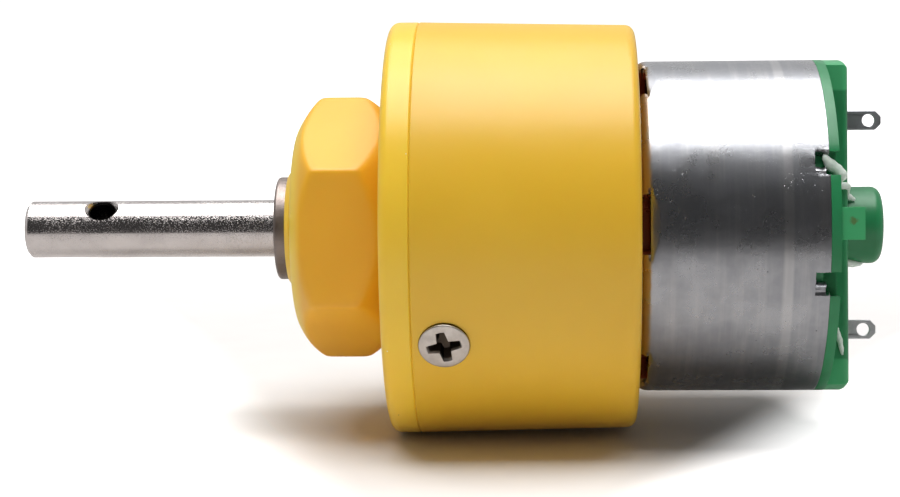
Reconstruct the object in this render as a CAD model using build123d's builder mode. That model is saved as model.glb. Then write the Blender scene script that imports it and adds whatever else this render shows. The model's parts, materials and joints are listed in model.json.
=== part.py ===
"""Geared DC motor: a 6 mm output shaft, a three-stage spur gearbox and a brushed can motor.

Millimetres. X is the shaft axis: the output shaft points to -X and the terminals to +X.
The origin is on the shaft axis, in the gearbox's front face. Z is up. The unit lies on its
round side, rolled so that its front side looks FRONT degrees round from +Y towards +Z.
"""

import os
from math import acos, cos, degrees, pi, radians, sin, tan

from build123d import *

# ---- driving dimensions -------------------------------------------------------------------

FRONT = 171.5  # where the tab, the notches' middle and a can window point

# output shaft and its bushes
SHAFT_R = 3.0
SHAFT_TIP = -38.75
JOURNAL_R = 2.8
JOURNAL_END = 10.2
SHAFT_CHAMFER = 0.4
CROSS_HOLE_X = -30.65
CROSS_HOLE_R = 1.25
CROSS_HOLE_MOUTH_R = 1.8
CROSS_HOLE_ANGLE = FRONT - 46.5
BUSH_R = 4.0
BUSH_BORE_R = JOURNAL_R + 0.03
BUSH_FLANGE_R = 5.4
BUSH_FLANGE_T = 1.2
REAR_BUSH_FLANGE_T = 0.8
FRONT_BUSH_LENGTH = 6.7
REAR_BUSH_FRONT = -3.5
SNAP_GROOVE_X = (-4.15, -3.55)
SNAP_RING_FRONT = -4.1
SNAP_RING_R = 3.6
SNAP_RING_T = 0.5
THRUST_WASHER_X = (3.4, 3.9)
THRUST_WASHER_R = 5.6

# gearbox shell
NECK_R = 6.2
NECK_FRONT = -10.9
COVER_R = 21.5
COVER_REAR = 3.0
SPIGOT_R = (18.0, 19.1)
COVER_RECESS_R = 16.9
COVER_RECESS_X = 2.5
HOUSING_END_R = 21.0
HOUSING_BORE_R = 19.2
HOUSING_REAR = 25.3
REAR_WALL_FRONT = 23.0
EDGE_R = 1.0
SEAM_CHAMFER = 0.12
LUG_REAR = 9.2
LUG_WIDTH = 8.0
LUG_T = 3.6

# cover screws
SCREW_X = 6.2
SCREW_ANGLES = (FRONT + 32.7, FRONT + 212.7)
SCREW_R = 1.25
SCREW_HEAD_R = 2.5
SCREW_HEAD_TOP = 21.62
SCREW_RIM = 0.45
SCREW_TIP = 16.2
CROSS_TURN = 12.0
CROSS_SPAN = 3.5
CROSS_ARM = 1.0
CROSS_DEPTH = 1.3
CROSS_TAPER = 14

# mounting nut
NUT_FLATS = 24.0
NUT_CORNER_R = 13.77
NUT_FRONT_CONE = ((0, 10.0), (0.3, 10.7), (1.25, 12.2), (2.1, 13.35), (2.6, NUT_CORNER_R))
NUT_REAR_CONE = ((2.6, NUT_CORNER_R), (2.0, 13.35), (0, 11.7))
NUT_EDGE_R = 1.0
NUT_FRONT = -9.9
NUT_REAR = -0.05
NUT_BORE_R = NECK_R + 0.08
NUT_FACE_ANGLE = FRONT + 5.9

# gear train: three equal reductions on one centre distance
MODULE = 0.5
PINION_TEETH = 12
WHEEL_TEETH = 30
PROFILE_SHIFT = 0.3
PRESSURE_ANGLE = 20.0
BACKLASH = 0.06
CENTRE_DISTANCE = MODULE * (PINION_TEETH + WHEEL_TEETH) / 2
POST_1_ANGLE = 300.0
POST_2_ANGLE = 240.0
POST_R = 1.25
POST_FRONT = 1.2
POST_REAR = 24.4
POST_BOSS_R = 2.6
GEAR_BORE_R = 1.28
HUB_R = 2.2
WHEEL_RECESS_R = (3.2, 5.9)
WHEEL_RECESS_DEPTH = 0.9
WASHER_T = 0.5
GEARS_FRONT = 4.2
GEARS_REAR = 19.9
OUTPUT_GEAR_X = (4.0, 9.6)
WHEEL_2_X = (10.9, 14.3)
PINION_1_FRONT = 10.2
WHEEL_1_X = (15.4, 19.0)
MOTOR_PINION_X = (15.2, 19.8)

# motor can
CAN_R = 17.2
CAN_WALL = 1.0
CAN_FACE_T = 0.7
CAN_FRONT = HOUSING_REAR
CAN_REAR = 43.6
CAN_SHOULDER_R = 0.5
CAN_BOSS_R = 5.0
CAN_BOSS_FRONT = 23.1
WINDOW_COUNT = 6
WINDOW_ARC = 20.5
WINDOW_LENGTH = 0.8
WINDOW_INNER_R = 14.4
CAN_BEARING_R = 3.5
NOTCH_ANGLE = 20.0
NOTCH_ARC = 8.0
NOTCH_DEPTH = 1.4
MOTOR_SCREW_CIRCLE = 8.0
MOTOR_SCREW_R = 1.25
MOTOR_SCREW_HEAD_R = 2.2
MOTOR_SCREW_HEAD_T = 1.6

# end cap
CAP_R = CAN_R - CAN_WALL - 0.05
CAP_SKIRT_FRONT = 40.4
CAP_SKIRT_T = 1.6
CAP_FLOOR_FRONT = 42.8
LIP_REAR = 44.6
BAR_REAR = 46.87
BAR_WIDTH = 11.0
BAR_CORNER_R = 0.6
KEYWAY_OFFSET = CAN_R * sin(radians(NOTCH_ANGLE))
KEYWAY_FRONT = 43.0
KEYWAY_WIDTH = 2.35
KEYWAY_FLOOR_R = 13.2
TAB_WIDTH = 3.15
TAB_REAR = 46.85
TAB_INNER_R = 15.0
TAB_OUTER_R = 16.95
BOSS_R = 4.0
BOSS_REAR = 50.8
BOSS_CORNER_R = 1.0
BOSS_END_T = 0.8
CAP_BEARING_R = 2.6
CAP_BEARING_LENGTH = 4.2

# terminals and brushes
TERMINAL_R = 10.9
TERMINAL_WIDTH = 2.0
TERMINAL_T = 0.5
TERMINAL_CORNER = 0.6
TERMINAL_HOLE_R = 0.65
TERMINAL_HOLE_FROM_TIP = 1.3
TERMINAL_TIPS = {"terminal_upper": 51.0, "terminal_lower": 50.35}
ARM_X = (40.7, 42.6)
BRUSH_X = (40.1, 42.3)
BRUSH_WIDTH = 2.4
BRUSH_OUTER = 5.5

# rotor
ROTOR_SHAFT_R = 1.0
ROTOR_SHAFT_X = (15.0, 49.4)
ROTOR_BEARING_BORE_R = 1.03
CORE_X = (29.2, 37.2)
SPACER_X = (27.6, 29.2)
ROTOR_WASHER_T = 0.5
ROTOR_WASHER_FRONTS = (26.7, 43.2)
CORE_R = 11.4
CORE_HUB_R = 4.0
POLE_COUNT = 5
POLE_WIDTH = 2.6
POLE_SHOE_INNER_R = 9.6
POLE_GAP = 1.6
COIL_WIDTH = 5.4
COIL_OVERHANG = 1.5
COIL_INNER_R = 4.4
COIL_OUTER_R = 9.1
COMMUTATOR_X = (39.5, 42.6)
COMMUTATOR_R = 3.3
COMMUTATOR_HUB_R = 1.9
COMMUTATOR_FLANGE_R = 3.9
MAGNET_R = (12.0, 16.15)
MAGNET_X = (27.6, 39.4)
MAGNET_ARC = 140.0

REARWARD = (1, 0, 0)

pieces = []


# ---- shared shapes ------------------------------------------------------------------------


def keep(piece, name):
    """Name a finished piece and put it on the list to be written."""
    piece.part.label = name
    pieces.append(piece.part)


def lathe(*outline):
    """Half section of a turned piece, from its (x, radius) corners."""
    with BuildSketch(Plane.XZ) as section:
        with BuildLine():
            Polyline(*outline, close=True)
        make_face()
    return section.sketch


def ring(start, stop, inner, outer):
    """Half section of a plain ring from start to stop along X."""
    return lathe((start, inner), (stop, inner), (stop, outer), (start, outer))


def across(x, angle=0.0):
    """Plane square to the shaft at x, its own x axis turned from +Y towards +Z."""
    turn = radians(angle)
    return Plane(origin=(x, 0, 0), x_dir=(0, cos(turn), sin(turn)), z_dir=(1, 0, 0))


def outward(x, angle):
    """Plane on the shaft axis at x that faces outwards, with its own x axis along the shaft."""
    turn = radians(angle)
    return Plane(origin=(x, 0, 0), x_dir=(1, 0, 0), z_dir=(0, cos(turn), sin(turn)))


def polar(radius, angle):
    """Point in a plane square to the shaft."""
    return (radius * cos(radians(angle)), radius * sin(radians(angle)))


def sector(plane, angle, arc, inner, outer):
    """Ring sector of arc degrees centred on angle."""
    with BuildSketch(plane) as section:
        with BuildLine():
            start = polar(inner, angle - arc / 2)
            CenterArc((0, 0), inner, angle - arc / 2, arc)
            CenterArc((0, 0), outer, angle - arc / 2, arc)
            Line(start, polar(outer, angle - arc / 2))
            Line(polar(inner, angle + arc / 2), polar(outer, angle + arc / 2))
        make_face()
    return section.sketch


def gear_outline(plane, teeth, shift, phase):
    """Involute spur gear with one tooth centred phase degrees round."""
    pressure = radians(PRESSURE_ANGLE)
    pitch_r = MODULE * teeth / 2
    base_r = pitch_r * cos(pressure)
    root_r = pitch_r - MODULE * (1.25 - shift)
    tip_r = pitch_r + MODULE * (1 + shift)
    thickness = MODULE * (pi / 2 + 2 * shift * tan(pressure)) - BACKLASH
    steps = 4
    flank = [(root_r, base_r)]
    flank += [(base_r + (tip_r - base_r) * i / steps,) * 2 for i in range(steps + 1)]
    half = []
    for radius, at in flank:
        slope = acos(base_r / at)
        lead = thickness / (2 * pitch_r) + tan(pressure) - pressure - (tan(slope) - slope)
        half.append((radius, degrees(lead)))
    corners = []
    for tooth in range(teeth):
        middle = phase + 360 * tooth / teeth
        corners += [polar(radius, middle - lead) for radius, lead in half]
        corners += [polar(radius, middle + lead) for radius, lead in reversed(half)]
    with BuildSketch(plane) as section:
        with BuildLine():
            Polyline(*corners, close=True)
        make_face()
    return section.sketch


post_1 = polar(CENTRE_DISTANCE, POST_1_ANGLE)
post_2 = polar(CENTRE_DISTANCE, POST_2_ANGLE)
POST_1_TO_2_ANGLE = 180.0
POST_2_TO_CENTRE_ANGLE = POST_2_ANGLE + 180.0
HALF_PITCH = 180.0 / WHEEL_TEETH


# ---- output shaft -------------------------------------------------------------------------

shoulder_x = NECK_FRONT - BUSH_FLANGE_T - 0.05
groove_r = JOURNAL_R - 0.4
with BuildPart() as output_shaft:
    revolve(
        lathe(
            (SHAFT_TIP, 0),
            (SHAFT_TIP, SHAFT_R - SHAFT_CHAMFER),
            (SHAFT_TIP + SHAFT_CHAMFER, SHAFT_R),
            (shoulder_x, SHAFT_R),
            (shoulder_x, JOURNAL_R),
            (SNAP_GROOVE_X[0], JOURNAL_R),
            (SNAP_GROOVE_X[0], groove_r),
            (SNAP_GROOVE_X[1], groove_r),
            (SNAP_GROOVE_X[1], JOURNAL_R),
            (JOURNAL_END - 0.3, JOURNAL_R),
            (JOURNAL_END, JOURNAL_R - 0.3),
            (JOURNAL_END, 0),
        ),
        axis=Axis.X,
    )
    with BuildSketch(outward(CROSS_HOLE_X, CROSS_HOLE_ANGLE)):
        Circle(CROSS_HOLE_R)
    extrude(amount=SHAFT_R + 1, both=True, mode=Mode.SUBTRACT)
    for side in (0, 180):
        mouth = outward(CROSS_HOLE_X, CROSS_HOLE_ANGLE + side).offset(SHAFT_R + 0.05)
        with BuildSketch(mouth):
            Circle(CROSS_HOLE_MOUTH_R)
        extrude(amount=-1.0, taper=45, mode=Mode.SUBTRACT)
keep(output_shaft, "output_shaft")

with BuildPart() as output_gear:
    wheel_plane = across(OUTPUT_GEAR_X[0])
    phase = POST_2_TO_CENTRE_ANGLE + 180 + HALF_PITCH
    outline = gear_outline(wheel_plane, WHEEL_TEETH, -PROFILE_SHIFT, phase)
    extrude(outline, amount=OUTPUT_GEAR_X[1] - OUTPUT_GEAR_X[0], dir=REARWARD)
    with BuildSketch(wheel_plane):
        Circle(JOURNAL_R)
    extrude(amount=OUTPUT_GEAR_X[1] - OUTPUT_GEAR_X[0], mode=Mode.SUBTRACT)
    recess_front = OUTPUT_GEAR_X[1] - WHEEL_RECESS_DEPTH
    recess = ring(recess_front, OUTPUT_GEAR_X[1], WHEEL_RECESS_R[0] + 1, WHEEL_RECESS_R[1])
    revolve(recess, axis=Axis.X, mode=Mode.SUBTRACT)
keep(output_gear, "output_gear")

with BuildPart() as shaft_snap_ring:
    with BuildSketch(across(SNAP_RING_FRONT)):
        Circle(SNAP_RING_R)
        Circle(groove_r + 0.02, mode=Mode.SUBTRACT)
        with Locations((JOURNAL_R, 0)):
            Rectangle(3, 2.2, mode=Mode.SUBTRACT)
    extrude(amount=SNAP_RING_T)
keep(shaft_snap_ring, "shaft_snap_ring")

with BuildPart() as thrust_washer:
    revolve(ring(*THRUST_WASHER_X, BUSH_BORE_R, THRUST_WASHER_R), axis=Axis.X)
keep(thrust_washer, "thrust_washer")

with BuildPart() as front_bush:
    flange_front = NECK_FRONT - BUSH_FLANGE_T
    bush_rear = NECK_FRONT + FRONT_BUSH_LENGTH
    revolve(
        lathe(
            (flange_front, BUSH_BORE_R + 0.2),
            (flange_front + 0.2, BUSH_BORE_R),
            (bush_rear, BUSH_BORE_R),
            (bush_rear, BUSH_R),
            (NECK_FRONT, BUSH_R),
            (NECK_FRONT, BUSH_FLANGE_R),
            (flange_front, BUSH_FLANGE_R),
        ),
        axis=Axis.X,
    )
    rim = front_bush.edges().filter_by(GeomType.CIRCLE).filter_by(lambda e: e.radius > BUSH_R + 1)
    fillet(rim.sort_by(Axis.X)[0], radius=0.35)
keep(front_bush, "front_bush")

with BuildPart() as rear_bush:
    revolve(
        lathe(
            (REAR_BUSH_FRONT, BUSH_BORE_R),
            (COVER_RECESS_X + REAR_BUSH_FLANGE_T, BUSH_BORE_R),
            (COVER_RECESS_X + REAR_BUSH_FLANGE_T, BUSH_FLANGE_R),
            (COVER_RECESS_X, BUSH_FLANGE_R),
            (COVER_RECESS_X, BUSH_R),
            (REAR_BUSH_FRONT, BUSH_R),
        ),
        axis=Axis.X,
    )
keep(rear_bush, "rear_bush")

# ---- gearbox shell ------------------------------------------------------------------------


def screw_cone(gap):
    """(across, along) corners of a cover screw's countersunk seat, opened out by gap."""
    rim_z = SCREW_HEAD_TOP - SCREW_RIM
    neck_z = rim_z - (SCREW_HEAD_R - SCREW_R)
    return [
        (0, neck_z - gap),
        (SCREW_R + gap, neck_z - gap),
        (SCREW_HEAD_R + gap, rim_z - gap),
        (SCREW_HEAD_R + gap, COVER_R + 1),
        (0, COVER_R + 1),
    ]


def about_screw(angle, outline):
    """Half section beside a cover screw's axis, from (distance from the axis, height) corners."""
    turn = radians(angle)
    facing = (0, sin(turn), -cos(turn))
    with BuildSketch(Plane(origin=(SCREW_X, 0, 0), x_dir=(1, 0, 0), z_dir=facing)) as section:
        with BuildLine():
            Polyline(*outline, close=True)
        make_face()
    return section.sketch


def screw_axis(angle):
    """Axis of the cover screw at angle."""
    turn = radians(angle)
    return Axis((SCREW_X, 0, 0), (0, cos(turn), sin(turn)))


with BuildPart() as front_cover:
    revolve(
        lathe(
            (0, NECK_R),
            (NECK_FRONT + 0.5, NECK_R),
            (NECK_FRONT, NECK_R - 0.5),
            (NECK_FRONT, BUSH_R),
            (COVER_RECESS_X, BUSH_R),
            (COVER_RECESS_X, COVER_RECESS_R),
            (COVER_REAR, COVER_RECESS_R),
            (COVER_REAR, COVER_R - SEAM_CHAMFER),
            (COVER_REAR - SEAM_CHAMFER, COVER_R),
            (0, COVER_R),
        ),
        axis=Axis.X,
    )
    front_edges = front_cover.edges().filter_by(lambda e: abs(e.center().X) < 1e-6)
    fillet(front_edges.filter_by(lambda e: e.radius > COVER_R - 1), radius=EDGE_R)
    revolve(ring(COVER_REAR, COVER_REAR + 2, *SPIGOT_R), axis=Axis.X)
    for angle in SCREW_ANGLES:
        with BuildSketch(across(COVER_REAR, angle)):
            Circle(SPIGOT_R[1])
            with Locations((SPIGOT_R[1], 0)):
                Rectangle(2 * LUG_T, LUG_WIDTH, mode=Mode.INTERSECT)
        extrude(amount=LUG_REAR - COVER_REAR)
        with BuildSketch(outward(SCREW_X, angle).offset(SCREW_TIP - 0.4)):
            Circle(SCREW_R)
        extrude(amount=5, mode=Mode.SUBTRACT)
    for post in (post_1, post_2):
        with BuildSketch(across(COVER_RECESS_X)):
            with Locations(post):
                Circle(POST_BOSS_R)
        extrude(amount=COVER_REAR - COVER_RECESS_X)
        with BuildSketch(across(POST_FRONT - 0.2)):
            with Locations(post):
                Circle(POST_R)
        extrude(amount=COVER_REAR, mode=Mode.SUBTRACT)
keep(front_cover, "front_cover")

with BuildPart() as gearbox_housing:
    revolve(
        lathe(
            (COVER_REAR, HOUSING_BORE_R),
            (REAR_WALL_FRONT, HOUSING_BORE_R),
            (REAR_WALL_FRONT, CAN_BOSS_R + 0.1),
            (HOUSING_REAR, CAN_BOSS_R + 0.1),
            (HOUSING_REAR, HOUSING_END_R),
            (COVER_REAR + SEAM_CHAMFER, COVER_R),
            (COVER_REAR, COVER_R - SEAM_CHAMFER),
        ),
        axis=Axis.X,
    )
    rear_edges = gearbox_housing.edges().filter_by(lambda e: abs(e.center().X - HOUSING_REAR) < 1e-6)
    fillet(rear_edges.filter_by(lambda e: e.radius > COVER_R - 1), radius=EDGE_R)
    for post in (post_1, post_2):
        with BuildSketch(across(GEARS_REAR + 0.7)):
            with Locations(post):
                Circle(POST_BOSS_R)
        extrude(amount=REAR_WALL_FRONT - GEARS_REAR - 0.7)
        with BuildSketch(across(GEARS_REAR)):
            with Locations(post):
                Circle(POST_R)
        extrude(amount=POST_REAR - GEARS_REAR, mode=Mode.SUBTRACT)
    for side in (0, 180):
        with BuildSketch(across(REAR_WALL_FRONT)):
            with Locations(polar(MOTOR_SCREW_CIRCLE, FRONT + side)):
                Circle(MOTOR_SCREW_R + 0.1)
        extrude(amount=HOUSING_REAR - REAR_WALL_FRONT, mode=Mode.SUBTRACT)
    for angle in SCREW_ANGLES:
        countersink = about_screw(angle, screw_cone(0.04))
        revolve(countersink, axis=screw_axis(angle), mode=Mode.SUBTRACT)
        with BuildSketch(outward(SCREW_X, angle).offset(SCREW_TIP)):
            Circle(SCREW_R + 0.1)
        extrude(amount=6, mode=Mode.SUBTRACT)
keep(gearbox_housing, "gearbox_housing")

with BuildPart() as cover_screws:
    outline = [
        (0, SCREW_TIP),
        (SCREW_R - 0.4, SCREW_TIP),
        (SCREW_R, SCREW_TIP + 0.6),
        *screw_cone(0)[1:3],
        (SCREW_HEAD_R, SCREW_HEAD_TOP),
        (SCREW_HEAD_R - 0.9, SCREW_HEAD_TOP + 0.14),
        (0, SCREW_HEAD_TOP + 0.2),
    ]
    for angle in SCREW_ANGLES:
        revolve(about_screw(angle, outline), axis=screw_axis(angle))
    for angle in SCREW_ANGLES:
        for turn in (CROSS_TURN, CROSS_TURN + 90):
            with BuildSketch(outward(SCREW_X, angle).offset(SCREW_HEAD_TOP + 0.25)):
                Rectangle(CROSS_SPAN, CROSS_ARM, rotation=turn)
            extrude(amount=-CROSS_DEPTH, taper=CROSS_TAPER, mode=Mode.SUBTRACT)
keep(cover_screws, "cover_screws")

with BuildPart() as mounting_nut:
    with BuildSketch(across(NUT_FRONT, NUT_FACE_ANGLE)):
        RegularPolygon(NUT_FLATS / 2, 6, major_radius=False, rotation=30)
    extrude(amount=NUT_REAR - NUT_FRONT)
    edges_along = mounting_nut.edges().filter_by(Axis.X)
    fillet(edges_along, radius=NUT_EDGE_R)
    envelope = lathe(
        (NUT_FRONT, NUT_BORE_R + 0.5),
        *[(NUT_FRONT + x, radius) for x, radius in NUT_FRONT_CONE],
        *[(NUT_REAR - x, radius) for x, radius in NUT_REAR_CONE],
        (NUT_REAR, NUT_BORE_R + 0.5),
        (NUT_REAR - 0.5, NUT_BORE_R),
        (NUT_FRONT + 0.5, NUT_BORE_R),
    )
    revolve(envelope, axis=Axis.X, mode=Mode.INTERSECT)
keep(mounting_nut, "mounting_nut")

# ---- gear train ---------------------------------------------------------------------------

with BuildPart() as gear_posts:
    with BuildSketch(across(POST_FRONT)):
        with Locations(post_1, post_2):
            Circle(POST_R)
    extrude(amount=POST_REAR - POST_FRONT)
    chamfer(gear_posts.edges().filter_by(GeomType.CIRCLE), length=0.2)
keep(gear_posts, "gear_posts")

with BuildPart() as post_washers:
    for start in (GEARS_FRONT - WASHER_T - 0.1, GEARS_REAR + 0.1):
        with BuildSketch(across(start)):
            with Locations(post_1, post_2):
                Circle(HUB_R)
            with Locations(post_1, post_2):
                Circle(POST_R, mode=Mode.SUBTRACT)
        extrude(amount=WASHER_T)
keep(post_washers, "post_washers")


def shifted(plane, point):
    """Plane moved across to a gear's own axis."""
    return Plane(
        origin=plane.from_local_coords((point[0], point[1], 0)),
        x_dir=plane.x_dir,
        z_dir=plane.z_dir,
    )


with BuildPart() as compound_gear_1:
    with BuildSketch(shifted(across(GEARS_FRONT), post_1)):
        Circle(HUB_R)
    extrude(amount=GEARS_REAR - GEARS_FRONT)
    small = shifted(across(PINION_1_FRONT), post_1)
    outline = gear_outline(small, PINION_TEETH, PROFILE_SHIFT, POST_1_TO_2_ANGLE)
    extrude(outline, amount=WHEEL_1_X[0] - PINION_1_FRONT, dir=REARWARD)
    large = shifted(across(WHEEL_1_X[0]), post_1)
    phase = POST_1_ANGLE + 180 + HALF_PITCH
    outline = gear_outline(large, WHEEL_TEETH, -PROFILE_SHIFT, phase)
    extrude(outline, amount=WHEEL_1_X[1] - WHEEL_1_X[0], dir=REARWARD)
    with BuildSketch(shifted(across(WHEEL_1_X[1] - WHEEL_RECESS_DEPTH), post_1)):
        Circle(WHEEL_RECESS_R[1])
        Circle(WHEEL_RECESS_R[0], mode=Mode.SUBTRACT)
    extrude(amount=WHEEL_RECESS_DEPTH, mode=Mode.SUBTRACT)
    with BuildSketch(shifted(across(GEARS_FRONT), post_1)):
        Circle(GEAR_BORE_R)
    extrude(amount=GEARS_REAR - GEARS_FRONT, mode=Mode.SUBTRACT)
keep(compound_gear_1, "compound_gear_1")

with BuildPart() as compound_gear_2:
    with BuildSketch(shifted(across(GEARS_FRONT), post_2)):
        Circle(HUB_R)
    extrude(amount=GEARS_REAR - GEARS_FRONT)
    small = shifted(across(GEARS_FRONT), post_2)
    outline = gear_outline(small, PINION_TEETH, PROFILE_SHIFT, POST_2_TO_CENTRE_ANGLE)
    extrude(outline, amount=WHEEL_2_X[0] - GEARS_FRONT, dir=REARWARD)
    large = shifted(across(WHEEL_2_X[0]), post_2)
    phase = POST_1_TO_2_ANGLE + 180 + HALF_PITCH
    outline = gear_outline(large, WHEEL_TEETH, -PROFILE_SHIFT, phase)
    extrude(outline, amount=WHEEL_2_X[1] - WHEEL_2_X[0], dir=REARWARD)
    with BuildSketch(shifted(across(WHEEL_2_X[1] - WHEEL_RECESS_DEPTH), post_2)):
        Circle(WHEEL_RECESS_R[1])
        Circle(WHEEL_RECESS_R[0], mode=Mode.SUBTRACT)
    extrude(amount=WHEEL_RECESS_DEPTH, mode=Mode.SUBTRACT)
    with BuildSketch(shifted(across(GEARS_FRONT), post_2)):
        Circle(GEAR_BORE_R)
    extrude(amount=GEARS_REAR - GEARS_FRONT, mode=Mode.SUBTRACT)
keep(compound_gear_2, "compound_gear_2")

with BuildPart() as motor_pinion:
    outline = gear_outline(across(MOTOR_PINION_X[0]), PINION_TEETH, PROFILE_SHIFT, POST_1_ANGLE)
    extrude(outline, amount=MOTOR_PINION_X[1] - MOTOR_PINION_X[0], dir=REARWARD)
    with BuildSketch(across(MOTOR_PINION_X[0])):
        Circle(ROTOR_SHAFT_R)
    extrude(amount=MOTOR_PINION_X[1] - MOTOR_PINION_X[0], mode=Mode.SUBTRACT)
keep(motor_pinion, "motor_pinion")

# ---- motor shell --------------------------------------------------------------------------

with BuildPart() as motor_can:
    inner_r = CAN_R - CAN_WALL
    inner_front = CAN_FRONT + CAN_FACE_T
    revolve(
        lathe(
            (CAN_BOSS_FRONT, CAN_BEARING_R),
            (CAN_BOSS_FRONT, CAN_BOSS_R),
            (CAN_FRONT, CAN_BOSS_R),
            (CAN_FRONT, CAN_R),
            (CAN_REAR, CAN_R),
            (CAN_REAR, inner_r),
            (inner_front, inner_r),
            (inner_front, CAN_BEARING_R),
        ),
        axis=Axis.X,
    )
    circles = motor_can.edges().filter_by(GeomType.CIRCLE)
    shoulder = circles.filter_by(lambda e: abs(e.center().X - CAN_FRONT) < 1e-6 and e.radius > inner_r)
    fillet(shoulder, radius=CAN_SHOULDER_R)
    for window in range(WINDOW_COUNT):
        start = across(CAN_FRONT - 0.1, FRONT + 360 * window / WINDOW_COUNT)
        outline = sector(start, 0, WINDOW_ARC, WINDOW_INNER_R, CAN_R + 1)
        extrude(outline, amount=WINDOW_LENGTH + 0.1, dir=REARWARD, mode=Mode.SUBTRACT)
    for side in (0, 180):
        with BuildSketch(across(CAN_FRONT - 0.1)):
            with Locations(polar(MOTOR_SCREW_CIRCLE, FRONT + side)):
                Circle(MOTOR_SCREW_R)
        extrude(amount=CAN_FACE_T + 0.2, mode=Mode.SUBTRACT)
        for offset in (-NOTCH_ANGLE, NOTCH_ANGLE):
            notch = across(CAN_REAR - NOTCH_DEPTH, FRONT + side + offset)
            outline = sector(notch, 0, NOTCH_ARC, inner_r - 1, CAN_R + 1)
            extrude(outline, amount=NOTCH_DEPTH + 1, dir=REARWARD, mode=Mode.SUBTRACT)
keep(motor_can, "motor_can")

with BuildPart() as motor_screws:
    for side in (0, 180):
        place = polar(MOTOR_SCREW_CIRCLE, FRONT + side)
        with BuildSketch(across(REAR_WALL_FRONT - MOTOR_SCREW_HEAD_T)):
            with Locations(place):
                Circle(MOTOR_SCREW_HEAD_R)
        extrude(amount=MOTOR_SCREW_HEAD_T)
        with BuildSketch(across(REAR_WALL_FRONT)):
            with Locations(place):
                Circle(MOTOR_SCREW_R)
        extrude(amount=CAN_FRONT + CAN_FACE_T + 0.4 - REAR_WALL_FRONT)
        with BuildSketch(across(REAR_WALL_FRONT - MOTOR_SCREW_HEAD_T)):
            with Locations(place):
                Rectangle(2.6, 0.6)
                Rectangle(0.6, 2.6)
        extrude(amount=0.9, mode=Mode.SUBTRACT)
keep(motor_screws, "motor_screws")

with BuildPart() as can_bearing:
    bearing_rear = CAN_FRONT + CAN_FACE_T
    bearing = ring(CAN_BOSS_FRONT + 0.2, bearing_rear, ROTOR_BEARING_BORE_R, CAN_BEARING_R)
    revolve(bearing, axis=Axis.X)
keep(can_bearing, "can_bearing")

with BuildPart() as magnets:
    for side in (0, 180):
        outline = sector(across(MAGNET_X[0]), FRONT + side, MAGNET_ARC, *MAGNET_R)
        extrude(outline, amount=MAGNET_X[1] - MAGNET_X[0], dir=REARWARD)
keep(magnets, "magnets")

with BuildPart() as magnet_springs:
    spring_length = MAGNET_X[1] - MAGNET_X[0]
    for side in (90, 270):
        start = across(MAGNET_X[0], FRONT + side)
        back = sector(start, 0, 32, MAGNET_R[1] - 0.6, MAGNET_R[1])
        extrude(back, amount=spring_length, dir=REARWARD)
        for edge in (-15, 15):
            leg = sector(start, edge, 2, MAGNET_R[1] - 3.0, MAGNET_R[1] - 0.3)
            extrude(leg, amount=spring_length, dir=REARWARD)
keep(magnet_springs, "magnet_springs")

# ---- end cap, terminals and brushes ------------------------------------------------------

boss_inside = BOSS_REAR - BOSS_END_T
with BuildPart() as end_cap:
    with BuildSketch(across(LIP_REAR - 0.5, FRONT)):
        Circle(CAN_R - 0.03)
        Rectangle(BAR_WIDTH, 2 * CAN_R, mode=Mode.INTERSECT)
    extrude(amount=BAR_REAR - LIP_REAR + 0.5)
    bar_rim = end_cap.edges().filter_by(lambda e: abs(e.center().X - BAR_REAR) < 1e-6)
    fillet(bar_rim, radius=BAR_CORNER_R)
    with BuildSketch(Plane.XZ) as cap_section:
        with BuildLine():
            Polyline(
                (CAP_FLOOR_FRONT, CAP_BEARING_R),
                (CAP_FLOOR_FRONT, CAP_R - CAP_SKIRT_T),
                (CAP_SKIRT_FRONT, CAP_R - CAP_SKIRT_T),
                (CAP_SKIRT_FRONT, CAP_R),
                (CAN_REAR + 0.02, CAP_R),
                (CAN_REAR + 0.02, CAN_R),
                (LIP_REAR, CAN_R),
                (LIP_REAR, BOSS_R),
                (BOSS_REAR, BOSS_R),
                (BOSS_REAR, 0),
                (boss_inside, 0),
                (boss_inside, CAP_BEARING_R),
                close=True,
            )
        make_face()
        boss_corner = cap_section.vertices().group_by(Axis.X)[-1].sort_by(Axis.Y)[-1]
        fillet(boss_corner, radius=BOSS_CORNER_R)
    revolve(axis=Axis.X)
    for side in (0, 180):
        with BuildSketch(across(LIP_REAR - 0.5, FRONT + side)):
            with Locations(((TAB_INNER_R + TAB_OUTER_R) / 2, 0)):
                Rectangle(TAB_OUTER_R - TAB_INNER_R, TAB_WIDTH)
        extrude(amount=TAB_REAR - LIP_REAR + 0.5)
        with BuildSketch(across(KEYWAY_FRONT, FRONT + side)):
            for offset in (-KEYWAY_OFFSET, KEYWAY_OFFSET):
                with Locations(((KEYWAY_FLOOR_R + CAN_R + 1) / 2, offset)):
                    Rectangle(CAN_R + 1 - KEYWAY_FLOOR_R, KEYWAY_WIDTH)
        extrude(amount=LIP_REAR - KEYWAY_FRONT, mode=Mode.SUBTRACT)
    bearing_seat = ring(CAP_FLOOR_FRONT - 1, boss_inside, 0, CAP_BEARING_R)
    revolve(bearing_seat, axis=Axis.X, mode=Mode.SUBTRACT)
    with BuildSketch(across(CAP_FLOOR_FRONT - 0.1, FRONT)):
        with Locations((0, TERMINAL_R), (0, -TERMINAL_R)):
            Rectangle(TERMINAL_T, TERMINAL_WIDTH)
    extrude(amount=BAR_REAR - CAP_FLOOR_FRONT + 1, mode=Mode.SUBTRACT)
keep(end_cap, "end_cap")

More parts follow.
